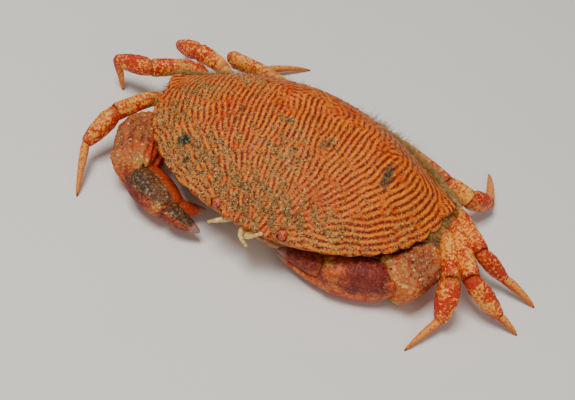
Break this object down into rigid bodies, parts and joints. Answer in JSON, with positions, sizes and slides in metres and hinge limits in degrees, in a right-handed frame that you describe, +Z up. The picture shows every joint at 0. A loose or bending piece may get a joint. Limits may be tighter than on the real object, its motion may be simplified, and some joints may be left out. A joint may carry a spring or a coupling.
{
  "type": "red rock crab",
  "caption": "Life-size still model of a young red rock crab at rest, with a wide shell toothed along its front edge, folded claws and spread walking legs.",
  "frame": {"origin": "on the floor under the middle of the body, where the flat of the folded abdomen rests", "axes": "the crab faces -Y, its left side is +X and +Z is up"},
  "size_m": [0.0965, 0.0592, 0.0213],
  "materials": {
    "shell": "satin, striped orange and dark red",
    "limb": "satin, orange-red with cream mottling",
    "claw": "granulated, maroon",
    "tip": "satin, orange-yellow",
    "under": "satin, cream",
    "eye": "gloss, dark red",
    "feeler": "satin, pale yellow"
  },
  "bodies": {
    "root": {"abdomen": "under", "antenna_left": "feeler", "antenna_right": "feeler", "antennule_left": "feeler", "antennule_right": "feeler", "carapace": "shell", "carpus_left_1": "limb", "carpus_left_2": "limb", "carpus_left_3": "limb", "carpus_left_4": "limb", "carpus_right_1": "limb", "carpus_right_2": "limb", "carpus_right_3": "limb", "carpus_right_4": "limb", "claw_carpus_left": "limb", "claw_carpus_right": "limb", "claw_merus_left": "limb", "claw_merus_right": "limb", "dactyl_left_1": "tip", "dactyl_left_2": "tip", "dactyl_left_3": "tip", "dactyl_left_4": "tip", "dactyl_right_1": "tip", "dactyl_right_2": "tip", "dactyl_right_3": "tip", "dactyl_right_4": "tip", "eye_left": "eye", "eye_right": "eye", "eyestalk_left": "limb", "eyestalk_right": "limb", "finger_left": "claw", "finger_right": "claw", "maxilliped_left": "under", "maxilliped_right": "under", "merus_left_1": "limb", "merus_left_2": "limb", "merus_left_3": "limb", "merus_left_4": "limb", "merus_right_1": "limb", "merus_right_2": "limb", "merus_right_3": "limb", "merus_right_4": "limb", "palm_left": "claw", "palm_right": "claw", "propodus_left_1": "limb", "propodus_left_2": "limb", "propodus_left_3": "limb", "propodus_left_4": "limb", "propodus_right_1": "limb", "propodus_right_2": "limb", "propodus_right_3": "limb", "propodus_right_4": "limb", "thorax": "under"}
  },
  "joints": []
}
